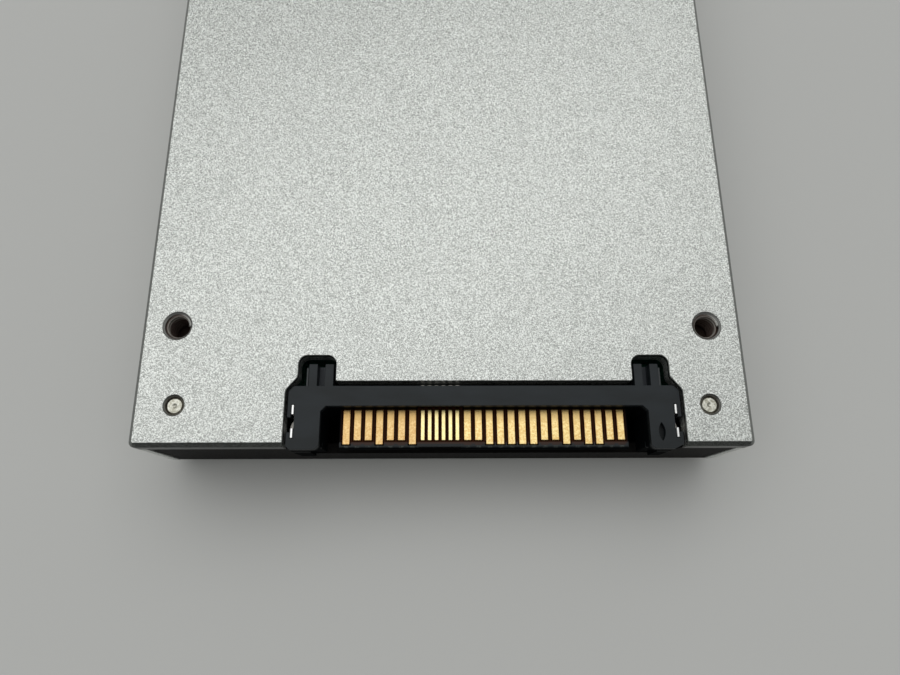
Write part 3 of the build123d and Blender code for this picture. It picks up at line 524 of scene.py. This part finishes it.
def dark_cover():
    """Satin black coat over the cast cover, its tone taken darker than black paint: painted shade on the front
    wall, which faces away from the light.
    """
    made = Finish("dark_cover")
    grain = made.grains(size=0.20 * MM) * 0.5 + made.noise(size=0.12 * MM) * 0.5
    return made.surface({
        "Base Color": made.mix(grain, *COVER_BLACK_AND_SHADE_TONES),
        "Roughness": 0.46 + grain * 0.15,
        "Specular IOR Level": 0.06,
        "Normal": made.relief(grain, depth=0.010 * MM, edge=0.08 * MM)}, matt=0.35)


def clip_tin():
    """Bright tinned sheet, with painted shade at the rims of its sheared edge and below the prongs, where it
    is also duller.
    """
    made = Finish("clip_tin")
    clip_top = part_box("hold_down_clips")[1].z
    marks = made.noise(size=0.15 * MM, detail=3.0, stretch=(1.0, 1.0, 4.0))
    # Painted shade: below the prongs the tin is painted a dimmer tone, and is less metallic and rougher.
    depth_shade = made.below(clip_top).step(*CLIP_DEEP)
    colour = made.mix(depth_shade, made.mix(marks, *CLIP_TONES), CLIP_DEPTH_SHADE)
    # Painted shade at the rims of the clip's sheared edge, leaving a bright line along its middle.
    off_middle = (made.axis("X") - plug_middle).abs() - (plug_half - CLIP_INSET)
    rim_shade = off_middle.abs().step(*CLIP_RIM) * (1 - depth_shade)
    colour = made.stain(colour, CLIP_RIM_SHADE, rim_shade, share=0.85)
    return made.surface({
        "Base Color": colour,
        "Metallic": 1 - depth_shade * 0.6,
        "Roughness": 0.22 + marks * 0.15 + depth_shade * 0.3,
        "Normal": made.relief(marks, depth=0.004 * MM, edge=0.04 * MM)})


def screw_zinc():
    """Zinc plated steel: a cream tone with brighter and duller flecks."""
    made = Finish("screw_zinc")
    fleck = made.noise(size=0.28 * MM, detail=3.0)
    return made.surface({
        "Base Color": made.mix(fleck.step(0.35, 0.68), *ZINC_TONES),
        "Metallic": 0.95,
        "Roughness": 0.24 + fleck * 0.2,
        "Normal": made.relief(fleck, depth=0.05 * MM, edge=0.06 * MM)})


def board_green():
    """Solder mask over copper: tracks show as a slightly raised, lighter green."""
    made = Finish("board_green")
    tracks = made.add("ShaderNodeTexBrick", {"offset": TRACK_STAGGER}, {
        "Vector": made.place, "Color1": (1, 1, 1, 1), "Color2": (0.6, 0.6, 0.6, 1), "Mortar": (0, 0, 0, 1),
        "Scale": 1.0, "Mortar Size": TRACK_GAP, "Brick Width": TRACK_LENGTH, "Row Height": TRACK_PITCH}, "Fac")
    cloud = made.noise(size=3.0 * MM)
    return made.surface({
        "Base Color": made.stain(made.mix(cloud, *MASK_TONES), TRACK_TONE, tracks, share=0.5),
        "Roughness": 0.28 + cloud * 0.1,
        "Normal": made.relief(tracks, depth=0.02 * MM, edge=0.05 * MM)})


def dull(name, tones, roughness, grain_size=0.12 * MM):
    """A dull moulded or fired surface with a fine grain."""
    made = Finish(name)
    grain = made.noise(grain_size, detail=3.0)
    return made.surface({
        "Base Color": made.mix(grain, *tones),
        "Roughness": roughness + grain * 0.12,
        "Normal": made.relief(grain, depth=0.008 * MM, edge=0.06 * MM)})


def can_sleeve():
    """Shrunk sleeve on the body of a can, with bare metal at its end."""
    made = Finish("can_sleeve")
    can_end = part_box("hold_up_capacitors")[1].y
    bare = made.axis("Y").step(can_end - BARE_LENGTH, can_end - BARE_LENGTH * 0.9)
    wrap = made.noise(size=0.8 * MM)
    return made.surface({
        "Base Color": made.mix(bare, made.mix(wrap, *SLEEVE_TONES), CAN_TONE),
        "Metallic": bare,
        "Roughness": 0.25 + wrap * 0.15,
        "Normal": made.relief(wrap, depth=0.02 * MM, edge=0.10 * MM)})


def paint_nodes():
    """Every carried-over node gets the finish of its real material."""
    zinc = screw_zinc()
    board = board_green()
    package = dull("package_epoxy", PACKAGE_TONES, roughness=0.45)
    pad = dull("silicone_pad", PAD_TONES, roughness=0.70, grain_size=0.4 * MM)
    link = dull("link_plastic", LINK_TONES, roughness=0.42)
    finishes = {
        "base_case": blasted_aluminium(),
        "cover": dark_cover(),
        "cover_screws": zinc,
        "connector_housing": black_plastic(),
        "signal_contacts": contact_gold(
            "signal_gold", "signal_contacts", BLADE_PITCH, BLADE_HALF, COPPER_FRONT, COPPER_REAR),
        "power_contacts": contact_gold(
            "power_gold", "power_contacts", BLADE_PITCH, BLADE_HALF, YELLOW_FRONT, YELLOW_REAR),
        "key_contacts": contact_gold(
            "key_gold", "key_contacts", KEY_BLADE_PITCH, KEY_BLADE_HALF, PALE_FRONT, PALE_REAR, KEY_TAIL_TONE),
        "back_contacts": contact_gold(
            "back_gold", "back_contacts", KEY_BLADE_PITCH, KEY_BLADE_HALF, YELLOW_FRONT, YELLOW_REAR),
        "hold_down_clips": clip_tin(),
        "main_board": board,
        "second_board": board,
        "board_spacers": plain_metal("turned_brass", BRASS_TONES, roughness=0.25),
        "board_screws": zinc,
        "link_socket": link,
        "link_plug": link,
        "controller": package,
        "controller_pad": pad,
        "memory_packages": package,
        "main_flash_upper": package,
        "main_flash_lower": package,
        "second_flash_upper": package,
        "second_flash_lower": package,
        "upper_flash_pads": pad,
        "middle_flash_pads": pad,
        "lower_flash_pads": pad,
        "hold_up_capacitors": can_sleeve(),
        "power_inductors": dull("pressed_ferrite", COIL_TONES, roughness=0.55),
        "power_chips": package,
        "ceramic_capacitors": dull("fired_ceramic", CERAMIC_TONES, roughness=0.35),
        "clock_crystal": plain_metal("bright_tin", TIN_TONES, roughness=0.22),
    }
    for name, node in nodes.items():
        node.data.materials.clear()
        node.data.materials.append(finishes[name])
    return finishes


def settle(piece, name, material):
    """Gives a finished piece its name, finish and body."""
    piece.name = name
    piece.data.name = name
    piece.data.materials.clear()
    piece.data.materials.append(material)
    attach(piece, ROOT)


def apply_all(piece):
    """Applies a piece's modifiers and its place, so that its object sits at the origin."""
    bpy.ops.object.select_all(action="DESELECT")
    piece.select_set(True)
    bpy.context.view_layer.objects.active = piece
    for modifier in list(piece.modifiers):
        bpy.ops.object.modifier_apply(modifier=modifier.name)
    bpy.ops.object.transform_apply(location=True, rotation=True, scale=True)


def thread_ridge(turns):
    """The helical ridge of an inside thread about the Z axis, its first turn at the top."""
    bpy.ops.object.select_all(action="DESELECT")
    bpy.ops.mesh.primitive_plane_add(size=1.0)
    ridge = bpy.context.object
    bpy.ops.object.mode_set(mode="EDIT")
    bpy.ops.mesh.select_all(action="SELECT")
    bpy.ops.mesh.delete(type="ONLY_FACE")
    bpy.ops.object.mode_set(mode="OBJECT")
    for vertex in ridge.data.vertices:
        at_root = vertex.co.x > 0
        radius = THREAD_ROOT if at_root else THREAD_CREST
        width = THREAD_ROOT_WIDTH if at_root else THREAD_CREST_WIDTH
        vertex.co = Vector((radius, 0, width / 2 if vertex.co.y > 0 else -width / 2))
    screw = ridge.modifiers.new("turns", "SCREW")
    screw.axis = "Z"
    screw.screw_offset = -THREAD_PITCH
    screw.iterations = turns
    screw.steps = THREAD_STEPS
    screw.render_steps = THREAD_STEPS
    screw.use_merge_vertices = False
    apply_all(ridge)
    bpy.ops.object.mode_set(mode="EDIT")
    bpy.ops.mesh.select_all(action="DESELECT")
    bpy.ops.mesh.select_non_manifold()
    bpy.ops.mesh.fill_holes(sides=0)
    bpy.ops.mesh.select_all(action="SELECT")
    bpy.ops.mesh.normals_make_consistent(inside=False)
    bpy.ops.object.mode_set(mode="OBJECT")
    return ridge


def copy_of(source, place, turn):
    """A copy with a mesh of its own, turned and moved to its place."""
    piece = source.copy()
    piece.data = source.data.copy()
    bpy.context.scene.collection.objects.link(piece)
    piece.rotation_euler = turn
    piece.location = place
    apply_all(piece)
    return piece


def hole_places(mount):
    """The centres of a bolt pattern's holes: one row along Y, or two where it has both spacings."""
    spacings = [mount["dims"][name] for name in ("spacing_x_mm", "spacing_y_mm") if name in mount["dims"]]
    *across, along = [spacing * MM / 2 for spacing in spacings]
    rows = (-across[0], across[0]) if across else (0,)
    return [Vector(mount["pos_m"]) + Vector((x, y, 0)) for x in rows for y in (-along, along)]


def make_threads(material):
    """The threads of the face holes and of the side holes."""
    quarter = math.pi / 2
    face_ridge = thread_ridge(FACE_THREAD_TURNS)
    side_ridge = thread_ridge(SIDE_THREAD_TURNS)
    rows = [("face_holes", face_ridge, (0, 0, 0), (0, 0, -1)),
            ("side_holes_left", side_ridge, (0, -quarter, 0), (1, 0, 0)),
            ("side_holes_right", side_ridge, (0, quarter, 0), (-1, 0, 0))]
    for name, ridge, turn, inward in rows:
        for number, place in enumerate(hole_places(mounts[name])):
            piece = copy_of(ridge, place + Vector(inward) * THREAD_START, turn)
            settle(piece, f"thread_{name}_{number}", material)
    for ridge in (face_ridge, side_ridge):
        bpy.data.objects.remove(ridge)


def make_floor():
    """A plain pale floor under the drive."""
    bpy.ops.object.select_all(action="DESELECT")
    bpy.ops.mesh.primitive_plane_add(size=FLOOR_SIZE)
    floor = bpy.context.object
    floor.name = "floor"
    made = Finish("pale_floor")
    shade = tuple(FLOOR_SHADE * part for part in FLOOR_COLOUR)
    colour = made.mix(made.noise(FLOOR_CLOUD), shade + (1,), FLOOR_COLOUR + (1,))
    floor.data.materials.append(made.surface({"Base Color": colour, "Roughness": 0.9}))


def make_lights():
    """The soft panel overhead and the room around it."""
    bpy.ops.object.light_add(type="AREA", location=PANEL_PLACE)
    panel = bpy.context.object
    panel.data.shape = "RECTANGLE"
    panel.data.size = PANEL_WIDTH
    panel.data.size_y = PANEL_LENGTH
    panel.data.energy = PANEL_POWER
    panel.rotation_euler = Vector(PANEL_PLACE).to_track_quat("Z", "Y").to_euler()
    room = Finish("room", bpy.data.worlds.new("room"))
    behind_viewer = (0 - room.axis("Y")).step(*DARK_RANGE)
    low = room.axis("Z").fall(*HORIZON_RANGE)
    light = (1 - behind_viewer * DARK_SHARE) * (1 - low * HORIZON_SHARE) * ROOM_LIGHT
    shader = room.add("ShaderNodeBackground", {}, {"Color": ROOM_COLOUR, "Strength": light})
    room.add("ShaderNodeOutputWorld", {}, {"Surface": shader}, None)
    bpy.context.scene.world = room.made


def make_camera():
    """The camera, at the place and angle from which the drive is shown."""
    bpy.ops.object.camera_add(location=CAMERA_PLACE, rotation=CAMERA_TURN)
    camera = bpy.context.object
    camera.data.sensor_width = SENSOR_WIDTH
    camera.data.lens = CAMERA_LENS
    camera.data.clip_start = CAMERA_NEAR
    bpy.context.scene.camera = camera


bpy.context.scene.view_settings.view_transform = "Standard"
finishes = paint_nodes()
make_threads(finishes["base_case"])
make_floor()
make_lights()
make_camera()
